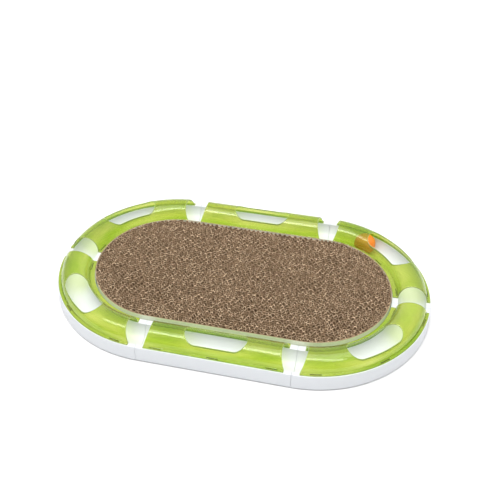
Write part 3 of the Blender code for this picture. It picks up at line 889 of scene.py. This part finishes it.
def relief_outline(run):
    """The strip by which the ribs stop short of the floor."""
    sizes = run.sizes
    right, left = sizes.skirt_foot - sizes.base_wall, sizes.base_wall - sizes.well_width
    top = sizes.skirt_lift + sizes.rib_lift
    return [(right, -OVERCUT), (right, top), (left, top), (left, -OVERCUT)]


def tab_slots(run):
    """The slots in the rims that take a cover's three pairs of tabs."""
    cover = run.cover
    long, thick = (size / 2 + cover.tab_clearance for size in (cover.tab_length, cover.tab_thickness))
    middle = run.sizes.tunnel_radius + cover.wall + cover.tab_thickness / 2
    bottom, top = cover.tab_depth - cover.tab_clearance, run.sizes.base_height + OVERCUT
    return [
        block(run.frame(distance), (-long, offset - thick, bottom), (long, offset + thick, top))
        for distance in (cover.tab_end_distance, run.length / 2, run.length - cover.tab_end_distance)
        for offset in (middle, -middle)
    ]


def hook_offsets(sizes):
    """Where across a section its two joining hooks stand."""
    room = sizes.base_wall + HOOK_MARGIN + HOOK_WIDTH / 2
    return sizes.skirt_foot - room, room - sizes.well_width


def hook(run, offset):
    """A barbed tongue past the far seam of a run."""
    root = -(run.sizes.seam_gap / 2 + run.sizes.base_wall / 2)
    catch = run.sizes.seam_gap / 2 + run.sizes.base_wall + HOOK_CLEARANCE
    top = HOOK_HEIGHT + HOOK_THICKNESS
    side = [
        (root, HOOK_HEIGHT),
        (HOOK_REACH, HOOK_HEIGHT),
        (HOOK_REACH, top - HOOK_BARB / 2),
        (catch + HOOK_BARB, top + HOOK_BARB),
        (catch, top + HOOK_BARB),
        (catch, top),
        (root, top),
    ]
    seam = run.frame(run.length)
    bm = bmesh.new()
    near, far = (
        [bm.verts.new(seam @ Vector((x, offset + shift, z))) for x, z in side]
        for shift in (-HOOK_WIDTH / 2, HOOK_WIDTH / 2)
    )
    bm.faces.new(near)
    bm.faces.new(far)
    bridge_rings(bm, near, far, 0)
    return mesh_from(bm, "hook")


def hook_socket(run, offset):
    """The hole by the near seam that takes the neighbour's tongue."""
    half = HOOK_WIDTH / 2 + HOOK_CLEARANCE
    low = (-OVERCUT, offset - half, HOOK_HEIGHT - HOOK_CLEARANCE)
    high = (OVERCUT, offset + half, HOOK_HEIGHT + HOOK_THICKNESS + HOOK_CLEARANCE)
    return block(run.frame(0.0), low, high)


def foot_land(place, sizes):
    """The small shelf that a foot is pushed into, run into the skirt's wall."""
    skirt = sizes.skirt_foot - (sizes.base_wall + sizes.skirt_draft) / 2 - FOOT_OFFSET
    return block(place, (-LAND_HALF, -LAND_HALF, LAND_BOTTOM), (LAND_HALF, skirt, LAND_BOTTOM + LAND_WALL))


def foot_hole(place):
    """The hole that takes a foot's stem."""
    bm = bmesh.new()
    depth = HOLE_TOP - LAND_BOTTOM + OVERCUT
    size = {"radius1": HOLE_RADIUS, "radius2": HOLE_RADIUS, "depth": depth}
    bmesh.ops.create_cone(bm, cap_ends=True, segments=HOLE_STEPS, **size)
    shape = place @ Matrix.Translation((0, 0, HOLE_TOP - depth / 2))
    bmesh.ops.transform(bm, matrix=shape, verts=bm.verts)
    return mesh_from(bm, "hole")


def trough_mesh(run, tree, finish):
    """A trough section: a shell with ribs under it, slots for the cover's tabs, hooks at one end."""
    sizes, seam = run.sizes, run.sizes.seam_gap / 2
    body = run.swept(tree, trough_outline(run), seam, run.length - seam, finish, SEAM_EASE)
    walls = run.walls()
    halves = [sizes.base_wall / 2, *[sizes.rib_wall / 2] * (sizes.bay_count - 1), sizes.base_wall / 2]
    hollows = [
        run.swept(tree, hollow_outline(run), a + half_a, b - half_b, finish)
        for a, b, half_a, half_b in zip(walls, walls[1:], halves, halves[1:])
    ]
    inner_end = seam + sizes.base_wall
    hollows.append(run.swept(tree, relief_outline(run), inner_end, run.length - inner_end, finish))
    sockets = [hook_socket(run, offset) for offset in hook_offsets(sizes)]
    body = combined(body, [*hollows, *tab_slots(run), *sockets], "DIFFERENCE")
    hooks = [hook(run, offset) for offset in hook_offsets(sizes)]
    feet = [run.frame(rib) @ Matrix.Translation((0, FOOT_OFFSET, 0)) for rib in walls[1:-1]]
    body = combined(body, [*hooks, *(foot_land(place, sizes) for place in feet)], "UNION")
    return combined(body, [foot_hole(place) for place in feet], "DIFFERENCE")


def cover_outline(run):
    """A cover seen end on as a closed outline, and where it starts to run over and under the window."""
    cover, seat = run.cover, run.seat
    ease, fillet, inner_radius = cover.edge_ease, cover.foot_fillet, run.sizes.tunnel_radius
    outer_radius = inner_radius + cover.wall
    lift, top = cover.wall + fillet, seat + cover.wall
    fillet_middle = math.sqrt((outer_radius + fillet) ** 2 - lift**2)
    foot = math.asin(lift / (outer_radius + fillet))
    field = cover.window_width / 2 + WINDOW_MARGIN
    over, inner_over = (
        [
            *arc(ease, -QUARTER_TURN, 0.0, EASE_STEPS, (edge - ease, seat + ease)),
            *arc(ease, 0.0, QUARTER_TURN, EASE_STEPS, (edge - ease, top - ease)),
            *arc(fillet, -QUARTER_TURN, foot - math.pi, FILLET_STEPS, (fillet_middle, seat + lift)),
            *arc(outer_radius, foot, math.acos(field / outer_radius), ARCH_STEPS, (0.0, seat))[1:-1],
        ]
        for edge in (cover.flange_edge, cover.inner_flange)
    )
    inside = arc(inner_radius, ease / inner_radius, math.acos(field / inner_radius), ARCH_STEPS, (0.0, seat))
    under = [
        *reversed(inside[:-1]),
        *arc(ease, math.pi, 1.5 * math.pi, EASE_STEPS, (inner_radius + ease, seat + ease))[1:],
        (outer_radius, seat),
        (outer_radius + cover.tab_thickness, seat),
    ]
    offsets = [field * math.cos(math.pi * k / WINDOW_STEPS) for k in range(WINDOW_STEPS + 1)]
    outer_crown, inner_crown = (
        [(x, seat + math.sqrt(radius**2 - x**2)) for x in offsets] for radius in (outer_radius, inner_radius)
    )
    left_over, left_under = ([(-x, z) for x, z in reversed(side)] for side in (inner_over, under))
    outline = [*over, *outer_crown, *left_over, *left_under, *reversed(inner_crown), *under]
    return outline, len(over), 2 * len(over) + len(outer_crown) + len(under)


def cover_row(run, point, out, field):
    """One row of a cover's points, from its leaning mouth to the other, as distances, offsets and heights."""
    cover, middle = run.cover, run.length / 2
    offset, height = point
    row = []
    for k in range(EASE_STEPS + 1):
        turn = QUARTER_TURN * k / EASE_STEPS
        drawn = MOUTH_EASE * (1 - math.sin(turn))
        x, z = offset - drawn * out.x, height - drawn * out.y
        lean = cover.mouth_lean * (z - run.seat) / (run.sizes.tunnel_radius + cover.wall)
        mouth = run.behind_plane(cover.mouth_setback + lean, x)
        row.append((mouth + MOUTH_EASE * (1 - math.cos(turn)), x, z))
    half, tab = cover.window_width / 2, cover.tab_length / 2
    reach = cover.window_length / 2 - half
    if field:
        reach += math.sqrt(max((half + WINDOW_MARGIN) ** 2 - offset**2, 0.0))
    first, last = (cover.tab_end_distance + side * tab for side in (-1, 1))
    marks = [row[-1][0], first, last, middle - reach, middle - tab, middle]
    cells = (MOUTH_CELLS, TAB_CELLS, SIDE_CELLS, MIDDLE_CELLS, TAB_CELLS // 2)
    for start, end, cell in zip(marks, marks[1:], cells):
        row += [(start + (end - start) * k / cell, offset, height) for k in range(1, cell + 1)]
    return [*row, *((run.length - s, x, z) for s, x, z in reversed(row[:-1]))]


def cover_mesh(run):
    """A clear cover: its outline from mouth to mouth, with tabs and with a window that has rounded edges."""
    outline, over, under = cover_outline(run)
    bm = bmesh.new()
    rows = []
    for j, (point, out) in enumerate(zip(outline, outward_directions(outline))):
        field = any(0 <= j - first <= WINDOW_STEPS for first in (over, under))
        rows.append(cover_row(run, point, out, field))
    grid = [[bm.verts.new(run.point(*place)) for place in row] for row in rows]
    last = len(rows[0]) - 1
    near = EASE_STEPS + MOUTH_CELLS + TAB_CELLS + SIDE_CELLS
    far = last - near
    tabs = tab_cells(last, len(outline), under)
    for j, row in enumerate(grid):
        following = grid[(j + 1) % len(grid)]
        open_row = any(0 <= j - first < WINDOW_STEPS for first in (over, under))
        for k in range(last):
            if (open_row and near <= k < far) or (j, k) in tabs:
                continue
            cell = bm.faces.new((row[k], row[k + 1], following[k + 1], following[k]))
            cell.material_index = 1 if min(k, last - 1 - k) < EASE_STEPS else 0
    for k in (0, last):
        bm.faces.new([row[k] for row in grid]).material_index = 1
    add_tabs(bm, run, grid, rows, tabs)
    upper = window_rings(bm, run, grid, rows, over, (near, far), True)
    lower = window_rings(bm, run, grid, rows, under, (near, far), False)
    nearest = [min(lower, key=lambda other: (other.co.xy - point.co.xy).length) for point in upper]
    bridge_rings(bm, upper, nearest, 1)
    return mesh_from(bm, "cover")


def bridge_rings(bm, ring, other, slot):
    """Joins two rings of matching points with faces of this material slot."""
    for k in range(len(ring)):
        bm.faces.new((ring[k - 1], ring[k], other[k], other[k - 1])).material_index = slot


def tab_cells(last, total, under):
    """The cells under the flanges from which the tabs grow, as rows and columns."""
    near = EASE_STEPS + MOUTH_CELLS
    middle = last // 2 - TAB_CELLS // 2
    starts = (near, middle, last - near - TAB_CELLS)
    left_row = 2 * under + WINDOW_STEPS + 1 - total
    return {(j, start + k) for j in (left_row, total - 2) for start in starts for k in range(TAB_CELLS)}


def add_tabs(bm, run, grid, rows, tabs):
    """Draws the tabs down from their cells."""
    low = {}
    for j, k in sorted(tabs):
        for a, b in ((j, k), (j, k + 1), (j + 1, k), (j + 1, k + 1)):
            if (a, b) not in low:
                low[a, b] = bm.verts.new(run.point(*rows[a][b][:2], run.cover.tab_depth))
    for j, k in sorted(tabs):
        corners = ((j, k), (j, k + 1), (j + 1, k + 1), (j + 1, k))
        bm.faces.new([low[corner] for corner in corners])
        sides = [(corners[0], corners[1]), (corners[2], corners[3])]
        if (j, k - 1) not in tabs:
            sides.append((corners[3], corners[0]))
        if (j, k + 1) not in tabs:
            sides.append((corners[1], corners[2]))
        for a, b in sides:
            bm.faces.new((grid[a[0]][a[1]], grid[b[0]][b[1]], low[b], low[a]))


def window_place(run, distance, offset, away):
    """The distance and offset that lie this far outside the window's edge, seen from its middle line."""
    half, middle = run.cover.window_width / 2, run.length / 2
    straight = run.cover.window_length / 2 - half
    spoke = Vector((max(abs(distance - middle) - straight, 0.0), offset)).normalized()
    if spoke.x > LEAST_SPOKE:
        distance = middle + math.copysign(straight + spoke.x * (half + away), distance - middle)
    return distance, spoke.y * (half + away)


def window_rings(bm, run, grid, rows, first, columns, upper):
    """Rings of faces from the field round a window to its edge; gives the last ring."""
    near, far = columns
    last_row = first + WINDOW_STEPS
    cells = [(first, k) for k in range(near, far)]
    cells += [(j, far) for j in range(first, last_row)]
    cells += [(last_row, k) for k in range(far, near, -1)]
    cells += [(j, near) for j in range(last_row, first, -1)]
    radius = run.sizes.tunnel_radius + (run.cover.wall if upper else 0.0)
    ease = WINDOW_EASE if upper else MOUTH_EASE
    turns = [QUARTER_TURN * k / WINDOW_EASE_STEPS for k in range(WINDOW_EASE_STEPS + 1)]
    steps = [((WINDOW_MARGIN + ease) / 2, 0.0)]
    steps += [(ease * (1 - math.sin(turn)), ease * (1 - math.cos(turn))) for turn in turns]
    ring = [grid[j][k] for j, k in cells]
    for away, drop in steps:
        places = []
        for j, k in cells:
            s, x = window_place(run, *rows[j][k][:2], away)
            z = run.seat + math.sqrt(radius**2 - x**2) - (drop if upper else -drop)
            places.append(bm.verts.new(run.point(s, x, z)))
        bridge_rings(bm, ring, places, 1 if drop else 0)
        ring = places
    return ring


def oval(radius, half_straight):
    """The oval outline at this distance from the line between the ends' middles."""
    right = arc(radius, -QUARTER_TURN, QUARTER_TURN, OVAL_STEPS, (half_straight, 0.0))
    left = arc(radius, QUARTER_TURN, 3 * QUARTER_TURN, OVAL_STEPS, (-half_straight, 0.0))
    return [*right, *left]


def oval_wall(outer, inner, low, high, name):
    """A closed body between two oval outlines, or a full one where there is no inner outline."""
    bm = bmesh.new()
    lines = [(line, z) for line in (outer, inner) if line for z in (low, high)]
    rings = [[bm.verts.new((x, y, z)) for x, y in line] for line, z in lines]
    if inner:
        pairs = [(rings[a], rings[b]) for a, b in ((0, 1), (1, 3), (3, 2), (2, 0))]
    else:
        pairs = [(rings[0], rings[1])]
        for ring in rings:
            bm.faces.new(ring)
    for ring, other in pairs:
        bridge_rings(bm, ring, other, 0)
    return mesh_from(bm, name)


def section_place(side):
    """Where a section's own frame stands in the oval."""
    _, end, quarters = SECTIONS[side]
    middle = Vector((end * bpy.context.scene.scratcher_track.straight_length / 2, 0, 0))
    return Matrix.Translation(middle) @ Matrix.Rotation(quarters * QUARTER_TURN, 4, "Z")


class SCRATCHER_OT_troughs(bpy.types.Operator):
    """Makes the six white trough sections"""

    bl_idname = "scratcher.troughs"
    bl_label = "Trough Sections"

    def execute(self, context):
        finish = white_plastic(context.scene.scratcher_colours)
        tree = section_tree()
        made = [trough_mesh(Run(context.scene, curved), tree, finish) for curved in (False, True)]
        for side, (curved, _, _) in SECTIONS.items():
            piece = add_piece(f"trough_{side}", made[curved], [finish], section_place(side))
            hand_over(piece, "track", "white_plastic", f"base_{side}")
        return {"FINISHED"}


class SCRATCHER_OT_covers(bpy.types.Operator):
    """Makes the six clear green covers"""

    bl_idname = "scratcher.covers"
    bl_label = "Clear Covers"

    def execute(self, context):
        scene = context.scene
        wall = scene.scratcher_cover.wall
        finishes = [clear_green(scene.scratcher_colours, wall, edge) for edge in (False, True)]
        made = [cover_mesh(Run(scene, curved)) for curved in (False, True)]
        for side, (curved, _, _) in SECTIONS.items():
            piece = add_piece(f"clear_cover_{side}", made[curved], finishes, section_place(side))
            hand_over(piece, f"cover_{side}", "green_plastic", f"cover_{side}")
        return {"FINISHED"}


class SCRATCHER_OT_feet(bpy.types.Operator):
    """Makes the twelve rubber feet"""

    bl_idname = "scratcher.feet"
    bl_label = "Rubber Feet"

    def execute(self, context):
        finish = foot_rubber(context.scene.scratcher_colours)
        lower, upper, girth = FOOT_STEPS
        radius, top, edge = (FOOT_HIGH.x - FOOT_LOW.x) / 2, FOOT_HIGH.z, FOOT_EASE / 2
        side = [
            (0.0, 0.0),
            *arc(FOOT_EASE, -QUARTER_TURN, 0.0, lower, (radius - FOOT_EASE, FOOT_EASE)),
            *arc(edge, 0.0, QUARTER_TURN, upper, (radius - edge, FOOT_HEAD - edge)),
            (FOOT_STEM, FOOT_HEAD),
            (FOOT_STEM, top - edge),
            (FOOT_STEM - edge, top),
            (0.0, top),
        ]
        pattern = placed_object("foot_pattern", turned(side, girth, "foot_pattern"))
        boxes = [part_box(node) for node in FOOT_NODES]
        places = bpy.data.meshes.new("foot_places")
        places.from_pydata([((a.x + b.x) / 2, (a.y + b.y) / 2, a.z) for a, b in boxes], [], [])
        feet = grown(places, feet_tree(), {"Foot": pattern, "Finish": finish})
        bpy.data.objects.remove(pattern)
        hand_over(add_piece("rubber_feet", feet, [finish]), "track", "foot_rubber", *FOOT_NODES)
        return {"FINISHED"}


class SCRATCHER_OT_pad(bpy.types.Operator):
    """Makes the corrugated pad: its closed lower part, its liners and its flutes"""

    bl_idname = "scratcher.pad"
    bl_label = "Corrugated Pad"

    def execute(self, context):
        scene = context.scene
        pad = scene.scratcher_pad
        half = scene.scratcher_track.straight_length / 2
        floor = pad.top - pad.cell_depth
        board = corrugated_board(scene.scratcher_colours, pad.top, pad.cell_depth)
        body = oval_wall(oval(pad.core_radius, half), None, pad.bottom, floor + CELL_OVERLAP, "pad_block")
        hand_over(add_piece("pad_block", body, [board]), "pad", "corrugated_board", "pad_core")
        values = {
            "Pitch": pad.strip_pitch,
            "Wave": pad.flute_wave,
            "Swing": pad.flute_swing,
            "Depth": pad.cell_depth,
            "Half Straight": half,
            "Radius": pad.core_radius - pad.flute_paper / 2,
            "Strips": 2 * math.floor(pad.core_radius / pad.strip_pitch) + 1,
            "Seed": pad.seed,
            "Finish": board,
        }
        papers = {
            "pad_flutes": (True, pad.flute_paper, pad.flute_wave / pad.wave_steps, pad.fray, 0.0),
            "pad_liners": (False, pad.liner_paper, pad.flute_wave / 2, pad.liner_wear, pad.liner_drop),
        }
        for name, (waved, paper, step, fray, drop) in papers.items():
            own = {"Paper": paper, "Step": step, "Fray": fray, "Top": pad.top - drop}
            mesh = grown(bpy.data.meshes.new(name), paper_tree(waved), values | own)
            hand_over(add_piece(name, mesh, [board]), "pad", "corrugated_board")
        return {"FINISHED"}


class SCRATCHER_OT_band(bpy.types.Operator):
    """Makes the paper band round the pad"""

    bl_idname = "scratcher.band"
    bl_label = "Paper Band"

    def execute(self, context):
        scene = context.scene
        pad = scene.scratcher_pad
        half, top = scene.scratcher_track.straight_length / 2, pad.top - pad.band_drop
        outer, inner = (oval(radius, half) for radius in (pad.band_radius, pad.band_radius - pad.band_wall))
        mesh = oval_wall(outer, inner, pad.bottom, top, "paper_wrap")
        finish = band_paper(scene.scratcher_colours, top)
        hand_over(add_piece("paper_wrap", mesh, [finish]), "pad", "paper_band", "pad_band")
        return {"FINISHED"}


class SCRATCHER_OT_ball(bpy.types.Operator):
    """Makes the two halves of the hollow ball"""

    bl_idname = "scratcher.ball"
    bl_label = "Ball"

    def execute(self, context):
        finish = ball_plastic(context.scene.scratcher_colours)
        inside, outside, girth = BALL_STEPS
        radius, centre = (BALL_HIGH.x - BALL_LOW.x) / 2, (BALL_LOW + BALL_HIGH) / 2
        hollow = radius - BALL_WALL
        inner = arc(hollow, QUARTER_TURN, math.asin(BALL_SLIT / hollow), inside)
        outer = arc(radius, math.asin((BALL_SLIT + BALL_LIP) / radius), QUARTER_TURN, outside)
        half = turned([*inner, (radius - BALL_LIP, BALL_SLIT), *outer], girth, "ball_half")
        for name, turn in (("upper", BALL_LEAN), ("lower", BALL_LEAN + math.pi)):
            place = Matrix.Translation(centre) @ Matrix.Rotation(turn, 4, "X")
            piece = add_piece(f"ball_{name}_shell", half, [finish], place)
            hand_over(piece, "ball", "ball_plastic", f"ball_{name}_half")
        return {"FINISHED"}


def add_light(name, power):
    """A soft area light."""
    (width, depth), place, target = LIGHTS[name]
    data = bpy.data.lights.new(name, "AREA")
    data.shape = "RECTANGLE"
    data.size, data.size_y = width, depth
    data.energy = power
    light = placed_object(name, data)
    light.location = place
    light.rotation_euler = (Vector(target) - Vector(place)).to_track_quat("-Z", "Y").to_euler()


def add_camera(stage):
    """The camera that saw the object as the photograph does."""
    turn, rise = stage.azimuth, stage.elevation
    back = Vector((math.sin(turn) * math.cos(rise), -math.cos(turn) * math.cos(rise), math.sin(rise)))
    right = Vector((math.cos(turn), math.sin(turn), 0.0))
    level = Matrix((right, back.cross(right), back)).transposed()
    data = bpy.data.cameras.new("camera")
    data.lens = data.sensor_width * stage.focal_pixels / PHOTO_WIDTH
    data.shift_x = (PHOTO_WIDTH / 2 - stage.origin_column) / PHOTO_WIDTH
    data.shift_y = (stage.origin_row - PHOTO_WIDTH / 2) / PHOTO_WIDTH
    data.clip_start, data.clip_end = CLIP
    camera = placed_object("camera", data)
    rolled = level @ Matrix.Rotation(stage.roll, 3, "Z")
    camera.matrix_world = Matrix.Translation(back * stage.distance) @ rolled.to_4x4()
    bpy.context.scene.camera = camera


def add_floor(colours):
    """A plain pale floor."""
    made, here = new_finish("pale_floor")
    pale = Vector(colours.floor)
    shade(made, {"Base Color": mixed(noise(here, scale=3.0), pale * 0.99, pale), "Roughness": 0.7})
    bm = bmesh.new()
    bmesh.ops.create_grid(bm, x_segments=1, y_segments=1, size=FLOOR_HALF)
    mesh = mesh_from(bm, "floor")
    mesh.materials.append(made)
    placed_object("floor", mesh)


def surroundings(stage):
    """A white room, brightest overhead, bright behind and dim at eye level in front."""
    world = bpy.data.worlds.new("surroundings")
    world.use_nodes = True
    _, behind, up = split(results(world.node_tree, "ShaderNodeTexCoord")["Generated"])
    level = spread(behind, 0.0, BACKDROP_EDGE, stage.horizon, stage.backdrop)
    white = {"Color": (1.0, 1.0, 1.0, 1.0), "Strength": spread(up, 0.0, 1.0, level, stage.zenith)}
    feed(world.node_tree.nodes["Background"], white)
    return world


class SCRATCHER_OT_stage(bpy.types.Operator):
    """Makes the floor, the light and the camera"""

    bl_idname = "scratcher.stage"
    bl_label = "Stage"

    def execute(self, context):
        scene = context.scene
        stage = scene.scratcher_stage
        add_camera(stage)
        add_floor(scene.scratcher_colours)
        scene.world = surroundings(stage)
        scene.view_settings.view_transform = "Standard"
        add_light("overhead", stage.overhead_power)
        add_light("strip", stage.strip_power)
        return {"FINISHED"}


class SCRATCHER_PT_panel(bpy.types.Panel):
    """Lists what can be made"""

    bl_idname = "SCRATCHER_PT_panel"
    bl_label = "Cat Scratcher"
    bl_space_type = "VIEW_3D"
    bl_region_type = "UI"
    bl_category = "Scratcher"

    def draw(self, context):
        for operator in OPERATORS:
            self.layout.operator(operator.bl_idname)
        for name in GROUPS:
            box = self.layout.box()
            group = getattr(context.scene, name)
            for setting in group.__annotations__:
                box.prop(group, setting)


GROUPS = {
    "scratcher_track": TrackSizes,
    "scratcher_cover": CoverSizes,
    "scratcher_pad": PadSizes,
    "scratcher_colours": FinishColours,
    "scratcher_stage": StageSettings,
}
OPERATORS = (
    SCRATCHER_OT_stage,
    SCRATCHER_OT_troughs,
    SCRATCHER_OT_covers,
    SCRATCHER_OT_feet,
    SCRATCHER_OT_pad,
    SCRATCHER_OT_band,
    SCRATCHER_OT_ball,
)


def register():
    """Registers the settings, the operators and the panel."""
    for kind in (*GROUPS.values(), *OPERATORS, SCRATCHER_PT_panel):
        bpy.utils.register_class(kind)
    for name, kind in GROUPS.items():
        setattr(bpy.types.Scene, name, PointerProperty(type=kind))


def unregister():
    """Takes the settings, the operators and the panel out again."""
    for name in GROUPS:
        delattr(bpy.types.Scene, name)
    for kind in reversed((*GROUPS.values(), *OPERATORS, SCRATCHER_PT_panel)):
        bpy.utils.unregister_class(kind)


def main():
    """Makes everything."""
    register()
    bpy.ops.scratcher.stage()
    bpy.ops.scratcher.troughs()
    bpy.ops.scratcher.covers()
    bpy.ops.scratcher.feet()
    bpy.ops.scratcher.pad()
    bpy.ops.scratcher.band()
    bpy.ops.scratcher.ball()


if __name__ == "__main__":
    main()
